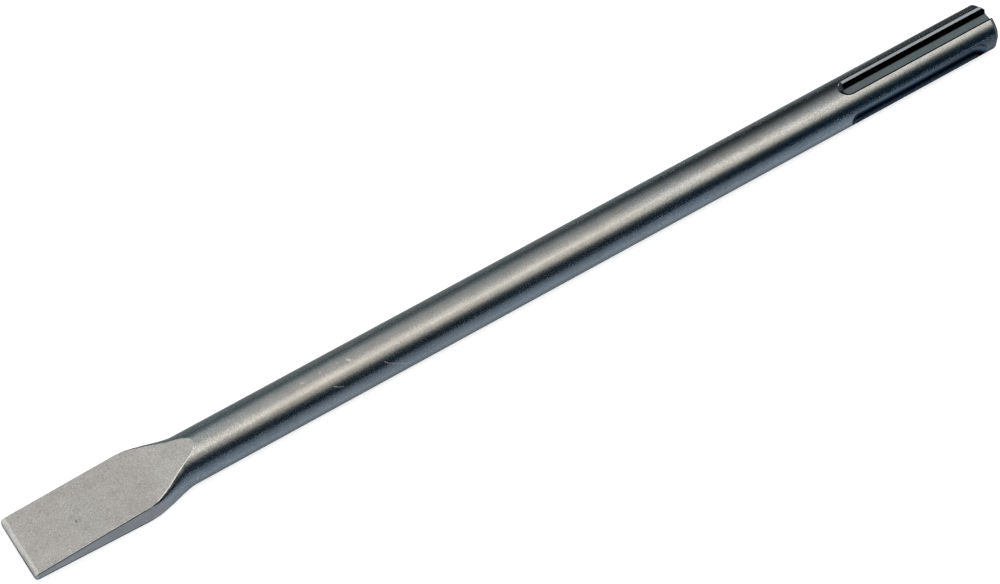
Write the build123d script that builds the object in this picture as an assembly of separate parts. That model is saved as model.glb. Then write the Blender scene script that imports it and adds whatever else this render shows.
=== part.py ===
from build123d import *
import math
import os

# A flat chisel for a rotary hammer: one round steel bar, forged flat and ground at the cutting end,
# and grooved at the other end, where the hammer holds, turns and strikes it.
# X runs along the tool, from the cutting edge at -X to the struck end at +X. Y runs across the blade.
# It is drawn about its own axis and then lifted, so that it lies on its round side on the plane Z = 0.

# Bar
overall_length = 400.0
bar_diameter = 18.0
end_chamfer_length = 2.0
end_chamfer_depth = 1.8

# Blade, a wedge with two ground faces
blade_length = 50.3
blade_width_at_edge = 24.5
blade_width_at_neck = 23.7
blade_thickness_at_neck = 10.0
blade_thickness_at_edge = 3.7
edge_crown = 0.3
edge_bevel_length = 1.3
edge_bevel_depth = 0.55
edge_corner_radius = 1.1

# Neck, where the forged blade runs out into the bar
ramp_angle = 13.2
ramp_bend_radius = 30.0
flare_overlap = 3.8
forging_run_out = 4.8
forging_start = 41.5
forging_corner_radius = 0.15
corner_growth = 1.5
grinding_allowance = 0.3
section_spacing = 2.0
seam_angle = 4.0

# Open grooves that turn the tool: a wide one on top and two narrow ones below, open at the struck end
drive_groove_length = 67.4
drive_groove_rim_angle = 33.0
wide_groove_floor_width = 3.0
wide_groove_wall_width = 5.3
wide_groove_depth = 3.8
wide_groove_rim_depth = 1.21
narrow_groove_floor_width = 2.4
narrow_groove_wall_width = 3.8
narrow_groove_depth = 2.8
narrow_groove_rim_depth = 1.0
narrow_groove_angle = 37.0

# Closed grooves that lock the tool in, one on each side
locking_groove_length = 60.9
locking_groove_end_gap = 6.0
locking_groove_depth = 3.0
locking_groove_trough_radius = 5.7
locking_groove_trough_width = 7.4
locking_groove_rim_angle = 40.0

bar_radius = bar_diameter / 2
struck_end = overall_length / 2
cutting_edge = -overall_length / 2
cut_clearance = 2.0
face_slope = (blade_thickness_at_neck - blade_thickness_at_edge) / 2 / blade_length
ramp_slope = math.tan(math.radians(ramp_angle))
ramp_end = blade_length + (bar_radius - blade_thickness_at_neck / 2) / ramp_slope
forging_end = ramp_end - forging_run_out
flare_start = blade_length - flare_overlap


def ease(share):
    """Smooth step from 0 to 1, level at both ends."""
    held = min(max(share, 0.0), 1.0)
    return held * held * (3 - 2 * held)


def ground_half_thickness(distance):
    """Half the thickness between the ground faces, at a distance from the cutting edge."""
    if distance < blade_length:
        return blade_thickness_at_edge / 2 + face_slope * distance
    return blade_thickness_at_neck / 2 + ramp_slope * (distance - blade_length)


def forged_half_width(distance):
    """Half the width of the forging: a slight taper along the blade, then a flare down to the bar."""
    taper = (blade_width_at_edge - blade_width_at_neck) / 2 / blade_length
    blade_half_width = blade_width_at_edge / 2 - taper * min(distance, blade_length)
    flare = ease((distance - flare_start) / (forging_end - flare_start))
    return blade_half_width + (bar_radius - blade_half_width) * flare


def forged_half_height(distance):
    """Half the height of the forging before it is ground."""
    blade_half_height = ground_half_thickness(min(distance, blade_length)) + grinding_allowance
    rise = max(distance - blade_length, 0.0) / (forging_end - blade_length)
    return blade_half_height + (bar_radius - blade_half_height) * rise


def forged_corner_radius(distance):
    """The long corners go from sharp on the blade to the full round of the bar."""
    share = max(distance - forging_start, 0.0) / (forging_end - forging_start)
    return forging_corner_radius + (bar_radius - forging_corner_radius) * share**corner_growth


def forged_section(distance):
    """One section of the forging, always in eight pieces: four corners and the four runs between them."""
    corner = forged_corner_radius(distance)
    corner_y = forged_half_width(distance) - corner
    corner_z = forged_half_height(distance) - corner
    is_round = max(corner_y, corner_z) < 1e-6
    inset = seam_angle if is_round else 0.0
    arcs = []
    for quarter, (side_y, side_z) in enumerate([(1, 1), (-1, 1), (-1, -1), (1, -1)]):
        centre = (side_y * corner_y, side_z * corner_z)
        arcs.append(CenterArc(centre, corner, 90 * quarter + inset, 90 - 2 * inset))
    pieces = []
    for quarter, arc in enumerate(arcs):
        following = arcs[(quarter + 1) % 4]
        pieces.append(arc)
        if is_round:
            pieces.append(CenterArc((0, 0), corner, 90 * (quarter + 1) - inset, 2 * inset))
        else:
            pieces.append(Line(arc @ 1, following @ 0))
    across = Plane((cutting_edge + distance, 0, 0), x_dir=(0, 1, 0), z_dir=(1, 0, 0))
    return across * make_face(pieces)


def make_forging():
    """The flattened end of the bar, before grinding: a wedge, and the neck that joins it to the bar."""
    blade = loft([forged_section(0), forged_section(forging_start)], ruled=True)
    count = round((forging_end - forging_start) / section_spacing)
    step = (forging_end - forging_start) / count
    neck = loft([forged_section(forging_start + step * index) for index in range(count + 1)])
    return blade + neck


def make_bar():
    """The round bar, chamfered at the struck end."""
    neck_end = cutting_edge + forging_end
    half_profile = make_face(
        Polyline(
            (neck_end, 0),
            (neck_end, bar_radius),
            (struck_end - end_chamfer_length, bar_radius),
            (struck_end, bar_radius - end_chamfer_depth),
            (struck_end, 0),
            close=True,
        )
    )
    return revolve(half_profile, Axis.X)


def make_ground_envelope():
    """All that lies between the two ground faces: the side view of the tool, drawn across the blade."""
    crown_half = blade_thickness_at_edge / 2 - edge_bevel_depth
    bevel_half = ground_half_thickness(edge_bevel_length)
    bend_half = blade_thickness_at_neck / 2
    clear_distance = ramp_end + cut_clearance / ramp_slope
    clear_half = bar_radius + cut_clearance
    upper = [
        (cutting_edge + edge_crown, crown_half),
        (cutting_edge + edge_bevel_length, bevel_half),
        (cutting_edge + blade_length, bend_half),
        (cutting_edge + clear_distance, clear_half),
        (struck_end + cut_clearance, clear_half),
    ]
    lower = [(x, -z) for x, z in reversed(upper)]
    crown = ThreePointArc(lower[-1], (cutting_edge, 0), upper[0])
    outline = make_face([Polyline(*upper, *lower), crown])
    bends = [
        corner
        for corner in outline.vertices()
        if abs(corner.X - (cutting_edge + blade_length)) < 1e-6
    ]
    outline = fillet(bends, ramp_bend_radius)
    reach = max(blade_width_at_edge, bar_diameter)
    return Plane.XZ * extrude(outline, reach, both=True)


def make_edge_corner(side):
    """What rounding takes off one corner of the cutting edge, seen from above."""
    corner_y = side * blade_width_at_edge / 2
    centre = (cutting_edge + edge_corner_radius, corner_y - side * edge_corner_radius)
    around_corner = Pos(cutting_edge, corner_y) * Rectangle(2 * edge_corner_radius, 2 * edge_corner_radius)
    waste = around_corner - Pos(*centre) * Circle(edge_corner_radius)
    return extrude(waste, blade_thickness_at_edge, both=True)


def make_groove_cutter(half_profile, run):
    """A groove along X with round ends. The half profile stands on its centre line, at X = 0."""
    mirrored = half_profile + mirror(half_profile, Plane.YZ)
    straight = extrude(Plane.YZ * mirrored, run)
    round_end = revolve(Plane.XZ * half_profile, Axis.Z)
    return straight + round_end + Pos(run, 0, 0) * round_end


def make_drive_groove(floor_width, wall_width, depth, rim_depth):
    """An open groove at the top of the bar: a flat floor, sloping walls and a bevelled rim."""
    floor = bar_radius - depth
    rim = bar_radius - rim_depth
    top = bar_radius + cut_clearance
    rim_slope = math.tan(math.radians(drive_groove_rim_angle))
    half_profile = make_face(
        Polyline(
            (0, floor),
            (floor_width / 2, floor),
            (wall_width / 2, rim),
            (wall_width / 2 + (top - rim) / rim_slope, top),
            (0, top),
            close=True,
        )
    )
    outer_half_width = wall_width / 2 + rim_depth / rim_slope
    start = struck_end - drive_groove_length + outer_half_width
    return Pos(start, 0, 0) * make_groove_cutter(half_profile, drive_groove_length)


def make_locking_groove():
    """A closed groove at the top of the bar: a hollow trough with a sloping rim all round."""
    floor = bar_radius - locking_groove_depth
    trough_centre = floor + locking_groove_trough_radius
    trough_half = locking_groove_trough_width / 2
    trough_angle = math.asin(trough_half / locking_groove_trough_radius)
    trough_edge = trough_centre - locking_groove_trough_radius * math.cos(trough_angle)
    rim_spread = math.tan(math.radians(locking_groove_rim_angle))
    top = bar_radius + cut_clearance
    trough = CenterArc((0, trough_centre), locking_groove_trough_radius, -90, math.degrees(trough_angle))
    rim = Polyline(
        trough @ 1,
        (trough_half + rim_spread * (top - trough_edge), top),
        (0, top),
        trough @ 0,
    )
    half_profile = make_face([trough, rim])
    end_reach = trough_half + rim_spread * (bar_radius - trough_edge)
    start = struck_end - locking_groove_end_gap - locking_groove_length + end_reach
    return Pos(start, 0, 0) * make_groove_cutter(half_profile, locking_groove_length - 2 * end_reach)


def make_chisel():
    blank = make_forging() + make_bar()
    chisel = blank & make_ground_envelope()
    chisel -= make_drive_groove(
        wide_groove_floor_width, wide_groove_wall_width, wide_groove_depth, wide_groove_rim_depth
    )
    narrow_groove = make_drive_groove(
        narrow_groove_floor_width, narrow_groove_wall_width, narrow_groove_depth, narrow_groove_rim_depth
    )
    for side in (-1, 1):
        chisel -= make_edge_corner(side)
        chisel -= Rot(180 + side * narrow_groove_angle, 0, 0) * narrow_groove
        chisel -= Rot(side * 90, 0, 0) * make_locking_groove()
    return Pos(0, 0, bar_radius) * chisel


os.makedirs("parts", exist_ok=True)
flat_chisel = make_chisel()
export_step(flat_chisel, "parts/flat_chisel.step")
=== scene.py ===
import math

import bpy
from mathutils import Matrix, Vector

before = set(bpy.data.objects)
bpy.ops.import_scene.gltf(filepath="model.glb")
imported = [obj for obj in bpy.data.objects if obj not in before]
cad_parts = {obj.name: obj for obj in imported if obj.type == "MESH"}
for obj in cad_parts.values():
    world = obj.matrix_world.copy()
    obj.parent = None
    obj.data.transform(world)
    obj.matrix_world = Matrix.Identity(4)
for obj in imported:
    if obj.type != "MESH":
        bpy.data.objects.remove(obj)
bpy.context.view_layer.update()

# Lengths are in metres. A range that ends in two more numbers is (from, to, value at from, value at to).
MILLIMETRE = 0.001
WHITE = (1, 1, 1)

# Camera, at the photograph's viewing angle
CAMERA_AZIMUTH = math.radians(-32.65)
CAMERA_ELEVATION = math.radians(58.05)
CAMERA_TARGET = Vector((-0.01074, 0.00060, 0.00570))
CAMERA_DISTANCE = 1.0903
CAMERA_LENS = 112.87
CAMERA_REACH = 20

# Places along the tool, from the cutting edge to the struck end
EDGE_X = -0.2
NOSE_END_X = -0.1986
BEND_X = -0.1497
NECK_END_X = -0.1325
TONGUE_END_X = -0.1315
FORGED_TO_X = -0.095
SHANK_X = 0.1325
CHAMFER_X = 0.1975

# The rest of the tool
BAR_RADIUS = 0.009
EDGE_HALF_THICKNESS = 0.00185
FACE_SLOPE = 0.0626
RAMP_NORMAL = Vector((-0.228, 0.0, 0.974))

# How a face is told apart: how well its normal fits, and how deep under the round of the bar it lies
FACE_FIT = 0.95
RAMP_FIT = 0.99
SIDE_FIT = 0.7
END_FIT = 0.5
ON_THE_ROUND = 0.0001
DEEP_IN_GROOVE = 0.0009
OUTWARD_ON_ROUND = 0.97
OUTWARD_ON_FLOOR = 0.9
OUTWARD_ON_RIM = 0.3
NORMAL_Y_ON_FAR_RIM = -0.52

# How far the sharp edges are broken, and which are sharp, long enough and near enough to the blade for it
EDGE_WIDTH = 0.00018
EDGE_SEGMENTS = 3
SHORTEST_BROKEN_EDGE = 0.0004
BROKEN_EDGES_END_X = BEND_X / 2
SHARP_ANGLE = math.radians(8)
WELD_DISTANCE = 0.000002
LARGE_FACES_LEAD = 100
NORMAL_LAYER = "drawn_normal"

# Studio: a paper tent round the tool, glowing unevenly, and a sheet of the same paper just over the floor.
# Each stop is an angle in degrees, from straight up towards the camera's side, and a linear colour.
TENT_RADIUS = 0.8
TENT_LENGTH = 4.0
TENT_STEP = 6
TENT_GLOW = [
    (-180, (0.17, 0.185, 0.195)),
    (-142, (0.27, 0.285, 0.295)),
    (-118, (0.28, 0.305, 0.32)),
    (-100, (0.135, 0.16, 0.175)),
    (-78, (0.053, 0.078, 0.093)),
    (-58, (0.152, 0.19, 0.21)),
    (-38, (0.40, 0.43, 0.435)),
    (-16, (0.56, 0.57, 0.565)),
    (-2, (0.74, 0.74, 0.72)),
    (8, (1.16, 1.13, 1.06)),
    (22, (1.34, 1.29, 1.19)),
    (32, (1.05, 1.02, 0.955)),
    (42, (0.38, 0.40, 0.385)),
    (52, (0.045, 0.06, 0.07)),
    (66, (0.0, 0.011, 0.026)),
    (86, (0.0, 0.018, 0.042)),
    (102, (0.215, 0.285, 0.37)),
    (126, (0.385, 0.46, 0.54)),
    (152, (0.29, 0.325, 0.365)),
    (180, (0.09, 0.10, 0.11)),
]
SHEET_HEIGHT = 0.0002

# How the paper's glow changes along the tool, where the front of the tent starts, and how dim the sheet is
# beside the tool and beyond its struck end
GLOW_AT_THE_BACK = (0.1, 0.4, 1.4, 0.3)
GLOW_AHEAD = (-0.8, -0.05, 1.35, 1.0)
FRONT_STARTS = (math.radians(-60), math.radians(4))
SHEET_BESIDE_TOOL = (0.009, 0.017, 0.5, 1.0)
SHEET_BEYOND_END = (0.16, 0.205, 1.0, 0.5)

# Floor, world and lamp
FLOOR_COLOUR = (0.8, 0.8, 0.8)
FLOOR_GLOW = 0.62
FLOOR_REACH = 3.0
AMBIENT_LIGHT = 0.35
LAMP_PLACE = (-0.15, -0.35, 1.1)
LAMP_LENGTH = 1.2
LAMP_WIDTH = 0.9
LAMP_ENERGY = 9

# Finishes
BAR_LOOK = {
    "colour": (0.50, 0.50, 0.49),
    "other_colour": (0.52, 0.50, 0.475),
    "mark_colour": (0.85, 0.84, 0.82),
    "roughness": 0.25,
    "grain_size": 0.00045,
    "grain": 0.08,
    "grain_tone": 0.20,
    "sparkle": 0.40,
    "mottle": 0.06,
    "streak": 0.04,
    "forged_grain": 0.22,
    "waviness": 0.00003,
    "hollow_shade": 0.0,
}
SIDE_LOOK = {
    "colour": (0.565, 0.512, 0.46),
    "other_colour": (0.575, 0.497, 0.455),
    "roughness": 0.27,
    "grain_size": 0.0006,
    "grain": 0.05,
    "grain_tone": 0.06,
    "sparkle": 0.0,
    "mottle": 0.09,
    "streak": 0.05,
    "forged_grain": 0.0,
    "waviness": 0.00001,
    "hollow_shade": 0.0,
}
GROUND_LOOK = {
    "colour": (0.655, 0.622, 0.585),
    "other_colour": (0.68, 0.627, 0.60),
    "mark_colour": (0.80, 0.78, 0.75),
    "roughness": 0.42,
    "grain_size": 0.0005,
    "grain": 0.35,
    "grain_tone": 0.20,
    "sparkle": 0.30,
    "mottle": 0.055,
    "streak": 0.02,
    "forged_grain": 0.06,
    "waviness": 0.00001,
    "hollow_shade": 0.0,
}
MILLED_LOOK = {
    "colour": (0.335, 0.392, 0.41),
    "other_colour": (0.345, 0.385, 0.40),
    "roughness": 0.24,
    "grain_size": 0.0005,
    "grain": 0.08,
    "grain_tone": 0.08,
    "sparkle": 0.0,
    "mottle": 0.06,
    "streak": 0.04,
    "forged_grain": 0.0,
    "waviness": 0.00001,
    # Painted shade in the hollows, at half strength
    "hollow_shade": 0.5,
}
# Painted highlight: the milled finish, lighter, on the rims that turn towards the camera's side
RIM_HIGHLIGHT_LOOK = {
    **MILLED_LOOK,
    "colour": (0.47, 0.52, 0.57),
    "other_colour": (0.48, 0.51, 0.555),
}
TROUGH_LOOK = {
    **MILLED_LOOK,
    "colour": (0.38, 0.47, 0.56),
    "other_colour": (0.39, 0.465, 0.54),
}
# Painted shade: the milled finish, near black, on the groove walls and the rims that turn away
WALL_SHADE_LOOK = {
    **MILLED_LOOK,
    "colour": (0.022, 0.028, 0.038),
    "other_colour": (0.028, 0.033, 0.042),
}
# Broken edges and the struck end: lighter than the bar, partly wear and partly a painted highlight
EDGE_WEAR_AND_HIGHLIGHT_LOOK = {
    **BAR_LOOK,
    "colour": (0.84, 0.83, 0.79),
    "other_colour": (0.80, 0.77, 0.72),
    "roughness": 0.34,
    "grain": 0.2,
    "grain_tone": 0.2,
    "mottle": 0.14,
    "waviness": 0.0,
}
NOSE_LOOK = {
    **GROUND_LOOK,
    "colour": (0.60, 0.587, 0.58),
    "other_colour": (0.64, 0.593, 0.585),
    "mottle": 0.22,
}

# What all finishes share: noise in features to a metre, the range that noise mostly keeps to, and their use
COARSE_SCALE = 170
DRAWN_SCALE = 1100
DRAWN_STRETCH = (40, 1, 1)
BROAD_SCALE = 35
WAVE_SCALE = 110
WAVE_STRETCH = (2.5, 1, 1)
SPECK_FINENESS = 1.3
NOISE_RANGE = (0.3, 0.7)
WARM_RANGE = (0.35, 0.65)
SPARKLE_RANGE = (0.64, 0.74)
ROUGH_RANGE = (0.25, 0.75)
ROUGH_SPREAD = 0.05
ROUGH_ALONG = (0.0, SHANK_X, 1.0, 0.8)
GRAIN_HEIGHT = 0.00005
COOL_TINT = (0.985, 1.01, 1.03)
COOL_RANGE_X = (-0.12, 0.16)
# Painted shade in the hollows, from ambient occlusion: how far it reaches, its samples, and the range it
# darkens over
HOLLOW_DEPTH = 0.0025
HOLLOW_SAMPLES = 8
HOLLOW_RANGE = (0.3, 0.9)

# Painted light and shade: a dark shade line under the ground faces, a highlight along the ridge, and a dark
# reflection in the troughs
# The painted shade line under the ground faces
SHADE_LINE_COLOUR = (0.03, 0.033, 0.04)
SHADE_LINE_UNDER_FACE = (0.00055, 0.00095, 1.0, 0.0)
SHADE_LINE_ALONG = (BEND_X - 0.002, BEND_X + 0.004, 1.0, 0.0)
SHADE_LINE_BROKEN = (0.38, 0.55, 0.72, 1.0)
# The painted highlight along the ridge of the cutting edge
RIDGE_HIGHLIGHT_COLOUR = (1.0, 0.94, 0.86)
RIDGE_SETBACK = 0.0013
RIDGE_WANDER = 0.0012
RIDGE_ACROSS = (0.0002, 0.0009, 0.95, 0.0)
# The painted dark reflection in the lower half of the closed grooves
TROUGH_REFLECTION_COLOUR = (0.002, 0.007, 0.017)
TROUGH_REFLECTION_BELOW = (-0.0035, -0.0030, 0.2, 1.0)
TROUGH_REFLECTION_ABOVE = (-0.0024, 0.0002, 0.995, 0.15)

# Marks, as (start, end, width) in millimetres on the surface: along the tool, and round the bar or across
# the blade
BAR_SCRATCHES = [
    ((-61.9, 7.4), (-61.0, 8.5), 0.22),
    ((-61.0, 8.5), (-59.4, 9.7), 0.26),
    ((-59.4, 9.7), (-57.0, 11.1), 0.26),
    ((-57.0, 11.1), (-54.9, 12.4), 0.24),
    ((-54.9, 12.4), (-53.0, 13.6), 0.20),
    ((-81.6, 6.6), (-80.4, 7.5), 0.22),
    ((-80.4, 7.5), (-78.4, 8.4), 0.20),
    ((-73.0, 0.6), (-72.3, 1.3), 0.62),
    ((-83.5, 0.0), (-83.3, 0.1), 0.45),
    ((-90.9, 0.3), (-90.1, 0.5), 0.35),
    ((-76.9, -0.1), (-76.4, 0.0), 0.30),
    ((-55.6, 3.6), (-54.4, 4.4), 0.22),
]
BLADE_SCRATCHES = [
    ((-176.3, -3.0), (-175.2, -2.6), 0.22),
    ((-155.2, -1.4), (-154.6, -1.0), 0.35),
    ((-152.9, 6.7), (-152.3, 4.1), 0.18),
    ((-147.9, -3.7), (-147.2, -3.3), 0.35),
    ((-151.6, 8.1), (-151.2, 6.4), 0.16),
]
BLADE_PITS = [
    ((-179.1, -2.45), (-178.9, -2.35), 0.42),
]
STROKE_CORE = 0.4
SCRATCH_BROKEN = (0.35, 0.5, 0.55, 1.0)
SCRATCH_ROUGHNESS = 0.25
PIT_COLOUR = (0.05, 0.05, 0.055)
PIT_DARKNESS = 0.75
PIT_DEPTH = 2.0


def add_node(tree, kind, **values):
    node = tree.nodes.new(kind)
    for name, value in values.items():
        setattr(node, name, value)
    return node


def connect(tree, source, target):
    """Join a node's output, or set a number or a colour, on another node's input."""
    if isinstance(source, bpy.types.NodeSocket):
        tree.links.new(source, target)
    elif source is not None:
        target.default_value = source


def math_node(tree, operation, first, second=None, third=None, clamp=False):
    node = add_node(tree, "ShaderNodeMath", operation=operation, use_clamp=clamp)
    for socket, value in zip(node.inputs, (first, second, third)):
        connect(tree, value, socket)
    return node.outputs[0]


def vector_node(tree, operation, first, second, output=0):
    node = add_node(tree, "ShaderNodeVectorMath", operation=operation)
    connect(tree, first, node.inputs[0])
    connect(tree, second, node.inputs["Scale"] if operation == "SCALE" else node.inputs[1])
    return node.outputs[output]


def product(tree, first, *others):
    for other in others:
        first = math_node(tree, "MULTIPLY", first, other)
    return first


def ramp_between(tree, value, low, high, to_low=0.0, to_high=1.0, course="SMOOTHSTEP"):
    """Map a value from one range to another, smoothly and held at the ends."""
    node = add_node(tree, "ShaderNodeMapRange", interpolation_type=course)
    for socket, setting in zip(node.inputs, (value, low, high, to_low, to_high)):
        connect(tree, setting, socket)
    return node.outputs[0]


def vary(tree, value, amount):
    """Turn noise into a factor that lies round 1."""
    return ramp_between(tree, value, *NOISE_RANGE, 1 - amount, 1 + amount)


def mix_number(tree, share, first, second):
    node = add_node(tree, "ShaderNodeMix")
    for socket, value in zip(node.inputs, (share, None, first, second)):
        connect(tree, value, socket)
    return node.outputs[0]


def mix_colour(tree, share, first, second, blend="MIX"):
    node = add_node(tree, "ShaderNodeMix", data_type="RGBA", blend_type=blend)
    connect(tree, share, node.inputs[0])
    connect(tree, first, node.inputs[6])
    connect(tree, second, node.inputs[7])
    return node.outputs[2]


def mix_shader(tree, share, first, second):
    node = add_node(tree, "ShaderNodeMixShader")
    for socket, value in zip(node.inputs, (share, first, second)):
        connect(tree, value, socket)
    return node.outputs[0]


def noise(tree, place, scale, detail=2.0, roughness=0.5, stretch=(1, 1, 1), seed=0.0):
    """Noise on the surface. The scale is in features to a metre, the stretch divides it along each axis."""
    mapping = add_node(tree, "ShaderNodeMapping")
    connect(tree, place, mapping.inputs["Vector"])
    mapping.inputs["Location"].default_value = (seed, seed, seed)
    mapping.inputs["Scale"].default_value = [1 / part for part in stretch]
    node = add_node(tree, "ShaderNodeTexNoise")
    connect(tree, mapping.outputs[0], node.inputs["Vector"])
    node.inputs["Scale"].default_value = scale
    node.inputs["Detail"].default_value = detail
    node.inputs["Roughness"].default_value = roughness
    return node.outputs["Fac"]


def split(tree, place):
    """The three parts of a place, x, y and z."""
    parts = add_node(tree, "ShaderNodeSeparateXYZ")
    connect(tree, place, parts.inputs[0])
    return parts.outputs


def flat_place(tree, along, across):
    place = add_node(tree, "ShaderNodeCombineXYZ")
    connect(tree, along, place.inputs[0])
    connect(tree, across, place.inputs[1])
    return place.outputs[0]


def above_axis(tree, height):
    return math_node(tree, "SUBTRACT", height, BAR_RADIUS)


def angle_round_tool(tree, across, height):
    """The angle round the tool's axis, from straight up towards the camera's side."""
    toward_camera = math_node(tree, "MULTIPLY", across, -1.0)
    return math_node(tree, "ARCTAN2", toward_camera, above_axis(tree, height))


def new_material(name):
    material = bpy.data.materials.new(name)
    material.use_nodes = True
    material.node_tree.nodes.clear()
    return material, material.node_tree


def put_out(tree, shader, kind="ShaderNodeOutputMaterial"):
    connect(tree, shader, add_node(tree, kind).inputs["Surface"])


def light_node(tree, kind, colour, strength):
    node = add_node(tree, kind)
    node.inputs["Color"].default_value = (*colour, 1)
    node.inputs["Strength"].default_value = strength
    return node.outputs[0]


def make_camera():
    back = Vector(
        (
            math.sin(CAMERA_AZIMUTH) * math.cos(CAMERA_ELEVATION),
            -math.cos(CAMERA_AZIMUTH) * math.cos(CAMERA_ELEVATION),
            math.sin(CAMERA_ELEVATION),
        )
    )
    camera = bpy.data.objects.new("camera", bpy.data.cameras.new("camera"))
    camera.data.lens = CAMERA_LENS
    camera.data.clip_end = CAMERA_REACH
    camera.location = CAMERA_TARGET + back * CAMERA_DISTANCE
    camera.rotation_euler = back.to_track_quat("Z", "Y").to_euler()
    bpy.context.scene.collection.objects.link(camera)
    bpy.context.scene.camera = camera


def make_stage_piece(name, points, faces, material):
    mesh = bpy.data.meshes.new(name)
    mesh.from_pydata(points, [], faces)
    mesh.materials.append(material)
    piece = bpy.data.objects.new(name, mesh)
    bpy.context.scene.collection.objects.link(piece)
    return piece


def make_level_piece(name, half_length, half_width, height, material):
    """A level rectangle of the stage."""
    corners = [(x, y, height) for x, y in ((-1, -1), (1, -1), (1, 1), (-1, 1))]
    points = [(x * half_length, y * half_width, z) for x, y, z in corners]
    return make_stage_piece(name, points, [(0, 1, 2, 3)], material)


def make_tent_paper(name, dim_near_tool):
    """Paper that glows by its angle round the tool, by its place along it, and less beside it on the sheet."""
    material, tree = new_material(name)
    along, across, height = split(tree, add_node(tree, "ShaderNodeNewGeometry").outputs["Position"])
    angle = angle_round_tool(tree, across, height)
    glow = add_node(tree, "ShaderNodeValToRGB")
    connect(tree, math_node(tree, "MULTIPLY_ADD", angle, 0.5 / math.pi, 0.5), glow.inputs[0])
    stops = glow.color_ramp.elements
    for index, (degrees, colour) in enumerate(TENT_GLOW):
        position = degrees / 360 + 0.5
        stop = stops[index] if index in (0, 1) else stops.new(position)
        stop.position = position
        stop.color = (*colour, 1)
    at_the_back = ramp_between(tree, along, *GLOW_AT_THE_BACK, course="LINEAR")
    ahead = ramp_between(tree, along, *GLOW_AHEAD, course="LINEAR")
    strength = mix_number(tree, ramp_between(tree, angle, *FRONT_STARTS), at_the_back, 1.0)
    strength = product(tree, strength, ahead)
    if dim_near_tool:
        beside = ramp_between(tree, math_node(tree, "ABSOLUTE", across), *SHEET_BESIDE_TOOL)
        beyond = ramp_between(tree, along, *SHEET_BEYOND_END)
        strength = product(tree, strength, beside, beyond)
    emission = add_node(tree, "ShaderNodeEmission")
    connect(tree, glow.outputs[0], emission.inputs["Color"])
    connect(tree, strength, emission.inputs["Strength"])
    put_out(tree, emission.outputs[0])
    return material


def make_tent():
    """The tent and the sheet under the tool are seen only by the metal."""
    half = TENT_LENGTH / 2
    points = []
    for degrees in range(-90, 91, TENT_STEP):
        y = -TENT_RADIUS * math.sin(math.radians(degrees))
        z = BAR_RADIUS + TENT_RADIUS * math.cos(math.radians(degrees))
        points += [(-half, y, z), (half, y, z)]
    faces = [(index, index + 1, index + 3, index + 2) for index in range(0, len(points) - 2, 2)]
    tent = make_stage_piece("tent", points, faces, make_tent_paper("tent_paper", False))
    sheet_paper = make_tent_paper("sheet_paper", True)
    sheet = make_level_piece("sheet", half, TENT_RADIUS, SHEET_HEIGHT, sheet_paper)
    for piece in (tent, sheet):
        piece.visible_camera = False
        piece.visible_diffuse = False
        piece.visible_transmission = False
        piece.visible_shadow = False


def seen_by_camera_or_metal(tree):
    path = add_node(tree, "ShaderNodeLightPath")
    metal = math_node(tree, "MAXIMUM", path.outputs["Is Camera Ray"], path.outputs["Is Glossy Ray"])
    return math_node(tree, "MAXIMUM", metal, path.outputs["Is Transmission Ray"])


def make_floor():
    """A pale floor. To the camera and in reflections it glows as well, so that it looks white."""
    material, tree = new_material("floor")
    paper = add_node(tree, "ShaderNodeBsdfDiffuse")
    paper.inputs["Color"].default_value = (*FLOOR_COLOUR, 1)
    lit = add_node(tree, "ShaderNodeAddShader")
    connect(tree, paper.outputs[0], lit.inputs[0])
    connect(tree, light_node(tree, "ShaderNodeEmission", WHITE, FLOOR_GLOW), lit.inputs[1])
    put_out(tree, mix_shader(tree, seen_by_camera_or_metal(tree), paper.outputs[0], lit.outputs[0]))
    make_level_piece("floor", FLOOR_REACH, FLOOR_REACH, 0, material)


def make_world():
    world = bpy.data.worlds.new("world")
    bpy.context.scene.world = world
    world.use_nodes = True
    tree = world.node_tree
    tree.nodes.clear()
    ambient = light_node(tree, "ShaderNodeBackground", WHITE, AMBIENT_LIGHT)
    white = light_node(tree, "ShaderNodeBackground", WHITE, 1.0)
    put_out(tree, mix_shader(tree, seen_by_camera_or_metal(tree), ambient, white), "ShaderNodeOutputWorld")


def make_lamp():
    lamp = bpy.data.lights.new("softbox", "AREA")
    lamp.shape = "RECTANGLE"
    lamp.size = LAMP_LENGTH
    lamp.size_y = LAMP_WIDTH
    lamp.energy = LAMP_ENERGY
    softbox = bpy.data.objects.new("softbox", lamp)
    softbox.location = LAMP_PLACE
    softbox.rotation_euler = (-softbox.location).to_track_quat("-Z", "Y").to_euler()
    softbox.visible_glossy = False
    bpy.context.scene.collection.objects.link(softbox)


def place_round_bar(tree, place):
    """The place along the bar and round it, measured from the top towards the camera's side."""
    along, across, height = split(tree, place)
    return flat_place(tree, along, product(tree, angle_round_tool(tree, across, height), BAR_RADIUS))


def place_from_above(tree, place):
    """The place as it is seen from above, for marks on the blade."""
    along, across, _ = split(tree, place)
    return flat_place(tree, along, across)


def stroke(tree, place, start, end, width):
    """1 on a straight scratch, fading to 0 at its edge. Its ends and width are in millimetres."""
    first = Vector((*start, 0)) * MILLIMETRE
    run = Vector((*end, 0)) * MILLIMETRE - first
    offset = vector_node(tree, "SUBTRACT", place, first)
    along = vector_node(tree, "DOT_PRODUCT", offset, run / run.length_squared, output=1)
    held = math_node(tree, "ADD", along, 0.0, clamp=True)
    nearest = vector_node(tree, "SCALE", run, held)
    distance = vector_node(tree, "DISTANCE", offset, nearest, output=1)
    reach = width * MILLIMETRE
    return ramp_between(tree, distance, reach * STROKE_CORE, reach, 1.0, 0.0)


def strokes(tree, place, lines):
    marks = None
    for start, end, width in lines:
        mark = stroke(tree, place, start, end, width)
        marks = mark if marks is None else math_node(tree, "MAXIMUM", marks, mark)
    return marks


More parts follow.
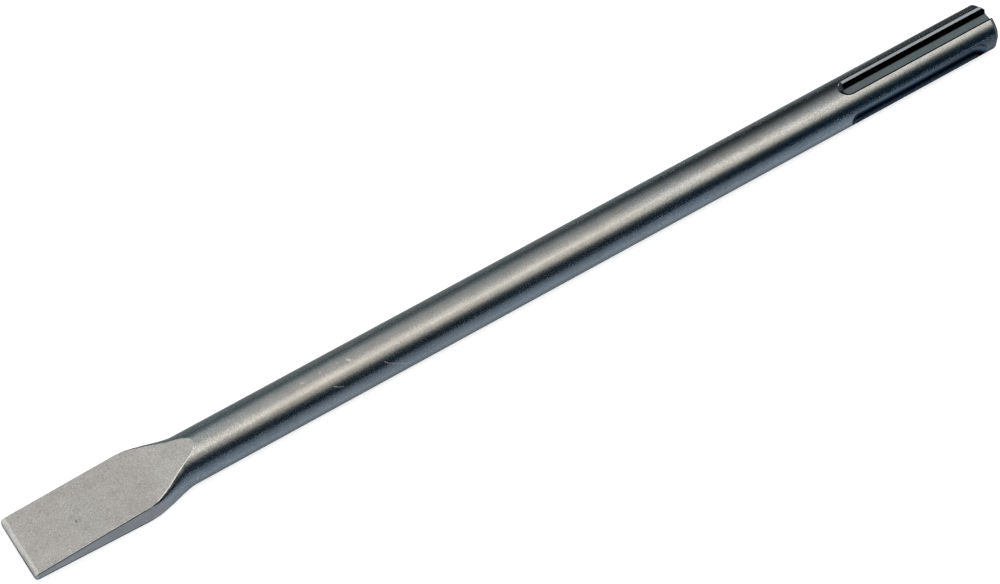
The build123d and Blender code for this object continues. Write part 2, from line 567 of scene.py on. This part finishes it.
def painted_shade_line(tree, place, noise_there):
    """Painted shade: a dark line on the blade's sides, just under the ground faces."""
    along, _, height = split(tree, place)
    from_edge = math_node(tree, "SUBTRACT", along, EDGE_X)
    face_height = math_node(tree, "MULTIPLY_ADD", from_edge, FACE_SLOPE, EDGE_HALF_THICKNESS)
    from_middle = math_node(tree, "ABSOLUTE", above_axis(tree, height))
    under_face = math_node(tree, "SUBTRACT", face_height, from_middle)
    line = ramp_between(tree, under_face, *SHADE_LINE_UNDER_FACE)
    on_blade = ramp_between(tree, along, *SHADE_LINE_ALONG)
    broken = ramp_between(tree, noise_there, *SHADE_LINE_BROKEN)
    return product(tree, line, on_blade, broken), SHADE_LINE_COLOUR


def painted_ridge_highlight(tree, place, noise_there):
    """A painted highlight: a bright strip along the ridge of the cutting edge, where its rounding catches the
    light.
    """
    along, _, _ = split(tree, place)
    shifted = math_node(tree, "MULTIPLY_ADD", noise_there, RIDGE_WANDER, along)
    middle = EDGE_X + RIDGE_SETBACK + RIDGE_WANDER / 2
    distance = math_node(tree, "ABSOLUTE", math_node(tree, "SUBTRACT", shifted, middle))
    return ramp_between(tree, distance, *RIDGE_ACROSS), RIDGE_HIGHLIGHT_COLOUR


def painted_trough_reflection(tree, place, _):
    """A painted dark reflection, which lies in the lower half of the closed grooves and thins out upwards."""
    height = above_axis(tree, split(tree, place)[2])
    below = ramp_between(tree, height, *TROUGH_REFLECTION_BELOW)
    above = ramp_between(tree, height, *TROUGH_REFLECTION_ABOVE)
    return product(tree, below, above), TROUGH_REFLECTION_COLOUR


def steel_tone(tree, place, look, fine, speck, coarse):
    """Light and dark: grain, mottling, drawing marks, sparkle, and stronger grain next to the forged neck."""
    drawn = noise(tree, place, DRAWN_SCALE, stretch=DRAWN_STRETCH, seed=5)
    sparkle = ramp_between(tree, speck, *SPARKLE_RANGE, 1.0, 1 + look["sparkle"])
    along = split(tree, place)[0]
    near_neck = ramp_between(tree, along, NECK_END_X, FORGED_TO_X, look["forged_grain"], 0.0)
    forged = ramp_between(tree, speck, *NOISE_RANGE, -1.0, 1.0)
    forged = math_node(tree, "MULTIPLY_ADD", forged, near_neck, 1.0)
    grain = vary(tree, fine, look["grain_tone"])
    mottle = vary(tree, coarse, look["mottle"])
    streak = vary(tree, drawn, look["streak"])
    return product(tree, grain, mottle, streak, sparkle, forged)


def steel_colour(tree, place, look, tone):
    """Two close colours in broad clouds, cooler towards the shank, and darker in the hollows, where ambient
    occlusion paints shade.
    """
    warm = ramp_between(tree, noise(tree, place, BROAD_SCALE, seed=9), *WARM_RANGE)
    colour = mix_colour(tree, warm, (*look["colour"], 1), (*look["other_colour"], 1))
    colour = mix_colour(tree, 1.0, colour, tone, "MULTIPLY")
    cool = mix_colour(tree, 1.0, colour, (*COOL_TINT, 1), "MULTIPLY")
    along = split(tree, place)[0]
    colour = mix_colour(tree, ramp_between(tree, along, *COOL_RANGE_X), colour, cool)
    # Painted shade: darker where ambient occlusion finds the surface hidden
    if look["hollow_shade"]:
        hollow = add_node(tree, "ShaderNodeAmbientOcclusion", samples=HOLLOW_SAMPLES)
        hollow.inputs["Distance"].default_value = HOLLOW_DEPTH
        hollow_shade = ramp_between(tree, hollow.outputs["AO"], *HOLLOW_RANGE, 1 - look["hollow_shade"], 1.0)
        colour = mix_colour(tree, 1.0, colour, hollow_shade, "MULTIPLY")
    return colour


def steel_roughness(tree, place, look, fine):
    low, high = look["roughness"] - ROUGH_SPREAD, look["roughness"] + ROUGH_SPREAD
    rough = ramp_between(tree, fine, *ROUGH_RANGE, low, high)
    return product(tree, rough, ramp_between(tree, split(tree, place)[0], *ROUGH_ALONG))


def steel_normal(tree, place, look, height):
    """The drawn normal, a little wavy, with the grain and the marks on it. Broken edges have their own."""
    bump = add_node(tree, "ShaderNodeBump")
    bump.inputs["Strength"].default_value = look["grain"]
    bump.inputs["Distance"].default_value = GRAIN_HEIGHT
    connect(tree, height, bump.inputs["Height"])
    if look["waviness"]:
        waves = add_node(tree, "ShaderNodeBump")
        waves.inputs["Distance"].default_value = look["waviness"]
        wave_height = noise(tree, place, WAVE_SCALE, detail=1, stretch=WAVE_STRETCH, seed=13)
        connect(tree, wave_height, waves.inputs["Height"])
        drawn_normal = add_node(tree, "ShaderNodeAttribute", attribute_name=NORMAL_LAYER)
        turned = add_node(tree, "ShaderNodeVectorTransform", vector_type="NORMAL")
        turned.convert_from = "OBJECT"
        turned.convert_to = "WORLD"
        connect(tree, drawn_normal.outputs["Vector"], turned.inputs[0])
        connect(tree, turned.outputs[0], waves.inputs["Normal"])
        connect(tree, waves.outputs[0], bump.inputs["Normal"])
    return bump.outputs[0]


def make_steel(name, look, paint=None, scratches=(), pits=(), marks_place=place_round_bar):
    """Blasted steel, with paint and marks at their own places."""
    material, tree = new_material(name)
    place = add_node(tree, "ShaderNodeTexCoord").outputs["Object"]
    fine = noise(tree, place, 1 / look["grain_size"], detail=3, roughness=0.7)
    speck = noise(tree, place, 1 / look["grain_size"] * SPECK_FINENESS, detail=1, seed=7)
    coarse = noise(tree, place, COARSE_SCALE, detail=5, roughness=0.62, seed=3)
    tone = steel_tone(tree, place, look, fine, speck, coarse)
    colour = steel_colour(tree, place, look, tone)
    rough = steel_roughness(tree, place, look, fine)
    height = fine
    if paint:
        share, paint_colour = paint(tree, place, coarse)
        colour = mix_colour(tree, share, colour, (*paint_colour, 1))
    if scratches:
        bright = strokes(tree, marks_place(tree, place), scratches)
        bright = product(tree, bright, ramp_between(tree, speck, *SCRATCH_BROKEN))
        colour = mix_colour(tree, bright, colour, (*look["mark_colour"], 1))
        rough = math_node(tree, "MULTIPLY_ADD", bright, SCRATCH_ROUGHNESS, rough)
        height = math_node(tree, "SUBTRACT", height, bright)
    if pits:
        dark = strokes(tree, marks_place(tree, place), pits)
        colour = mix_colour(tree, product(tree, dark, PIT_DARKNESS), colour, (*PIT_COLOUR, 1))
        height = math_node(tree, "SUBTRACT", height, product(tree, dark, PIT_DEPTH))
    steel = add_node(tree, "ShaderNodeBsdfPrincipled")
    steel.inputs["Metallic"].default_value = 1.0
    connect(tree, colour, steel.inputs["Base Color"])
    connect(tree, rough, steel.inputs["Roughness"])
    connect(tree, steel_normal(tree, place, look, height), steel.inputs["Normal"])
    put_out(tree, steel.outputs[0])
    return material


def is_ground(face):
    """True for the two ground faces of the blade, with the ramps that end in a tongue on the bar."""
    if face.center.x > TONGUE_END_X:
        return False
    normal = Vector((face.normal.x, face.normal.y, abs(face.normal.z)))
    if face.center.x > BEND_X:
        return normal.dot(RAMP_NORMAL) > RAMP_FIT
    return normal.z > FACE_FIT


def groove_part(face):
    """Tell the parts of the shank's grooves apart: floors, rims and walls, and the closed troughs."""
    from_axis = Vector((face.center.y, face.center.z - BAR_RADIUS))
    outward = Vector((face.normal.y, face.normal.z)).dot(from_axis.normalized())
    depth = BAR_RADIUS - from_axis.length
    if face.center.x < SHANK_X or depth < ON_THE_ROUND:
        return None
    if outward >= OUTWARD_ON_ROUND and depth <= DEEP_IN_GROOVE:
        return None
    if abs(from_axis.x) > abs(from_axis.y):
        return "trough"
    if outward > OUTWARD_ON_FLOOR:
        return "floor"
    # Rims turned towards the camera's side take a lighter finish, a painted highlight; the walls and the other
    # rims take a near-black one, a painted shade
    return "rim" if outward > OUTWARD_ON_RIM and face.normal.y < NORMAL_Y_ON_FAR_RIM else "wall"


def part_of(face):
    """The finish that belongs on a face. The struck end and its chamfer take the lighter finish of the broken
    edges, which is partly wear and partly a painted highlight.
    """
    if face.center.x < NOSE_END_X:
        return "nose"
    if is_ground(face):
        return "ground"
    if face.center.x < BEND_X and abs(face.normal.y) > SIDE_FIT:
        return "side"
    if face.center.x > CHAMFER_X and face.normal.x > END_FIT:
        return "edge"
    return groove_part(face) or "bar"


def mark_sharp_edges(mesh):
    """Give the blade's sharp edges a bevel weight, and mark the others as sharp.

    Two surfaces of the drawing share no points where they meet, so edges are matched by their places.
    """
    places = [tuple(round(part / WELD_DISTANCE) for part in vertex.co) for vertex in mesh.vertices]
    faces_at = {}
    for face in mesh.polygons:
        corners = [(places[mesh.loops[index].vertex_index], index) for index in face.loop_indices]
        for first, second in zip(corners, corners[1:] + corners[:1]):
            ends = {place: mesh.corner_normals[index].vector.copy() for place, index in (first, second)}
            faces_at.setdefault(frozenset(ends), []).append((face, ends))
    weights = mesh.attributes.new("bevel_weight_edge", "FLOAT", "EDGE")
    for edge in mesh.edges:
        pair = faces_at[frozenset(places[index] for index in edge.vertices)]
        if len(pair) != 2:
            continue
        (first, normals), (second, other_normals) = pair
        turn = min(normals[place].angle(other_normals[place]) for place in normals)
        if turn < SHARP_ANGLE:
            continue
        stands_out = (second.center - first.center).dot(first.normal) < 0
        start, end = (mesh.vertices[index].co for index in edge.vertices)
        long_enough = (end - start).length > SHORTEST_BROKEN_EDGE
        if stands_out and long_enough and start.x < BROKEN_EDGES_END_X:
            weights.data[edge.index].value = 1.0
        else:
            edge.use_edge_sharp = True


def keep_drawn_normals(mesh):
    """Store the normals of the drawing, which the finishes use everywhere but on the broken edges."""
    layer = mesh.attributes.new(NORMAL_LAYER, "FLOAT_VECTOR", "CORNER")
    for corner, normal in zip(layer.data, mesh.corner_normals):
        corner.vector = normal.vector


def round_edges(chisel, edge_slot):
    """Break the sharp edges a little, as grinding and use leave them."""
    keep_drawn_normals(chisel.data)
    mark_sharp_edges(chisel.data)
    weld = chisel.modifiers.new("weld", "WELD")
    weld.merge_threshold = WELD_DISTANCE
    bevel = chisel.modifiers.new("edges", "BEVEL")
    bevel.width = EDGE_WIDTH
    bevel.segments = EDGE_SEGMENTS
    bevel.limit_method = "WEIGHT"
    # The bevel faces take the lighter edge finish, partly wear and partly a painted highlight
    bevel.material = edge_slot
    bevel.use_clamp_overlap = False
    smooth = chisel.modifiers.new("normals", "WEIGHTED_NORMAL")
    smooth.weight = LARGE_FACES_LEAD
    smooth.keep_sharp = True


def finish_chisel():
    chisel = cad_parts["flat_chisel"]
    mesh = chisel.data
    blade_marks = (BLADE_SCRATCHES, BLADE_PITS, place_from_above)
    finishes = {
        "bar": make_steel("bar_steel", BAR_LOOK, scratches=BAR_SCRATCHES),
        "ground": make_steel("ground_steel", GROUND_LOOK, painted_ridge_highlight, *blade_marks),
        "side": make_steel("side_steel", SIDE_LOOK, painted_shade_line),
        "nose": make_steel("nose_steel", NOSE_LOOK, painted_ridge_highlight),
        "floor": make_steel("milled_steel", MILLED_LOOK),
        "rim": make_steel("rim_highlight_steel", RIM_HIGHLIGHT_LOOK),
        "wall": make_steel("wall_shade_steel", WALL_SHADE_LOOK),
        "trough": make_steel("trough_steel", TROUGH_LOOK, painted_trough_reflection),
        "edge": make_steel("edge_wear_and_highlight_steel", EDGE_WEAR_AND_HIGHLIGHT_LOOK),
    }
    slots = list(finishes)
    mesh.materials.clear()
    for material in finishes.values():
        mesh.materials.append(material)
    for face in mesh.polygons:
        face.material_index = slots.index(part_of(face))
    round_edges(chisel, slots.index("edge"))


make_camera()
make_world()
make_floor()
make_tent()
make_lamp()
finish_chisel()

bpy.context.scene.view_settings.view_transform = "Standard"
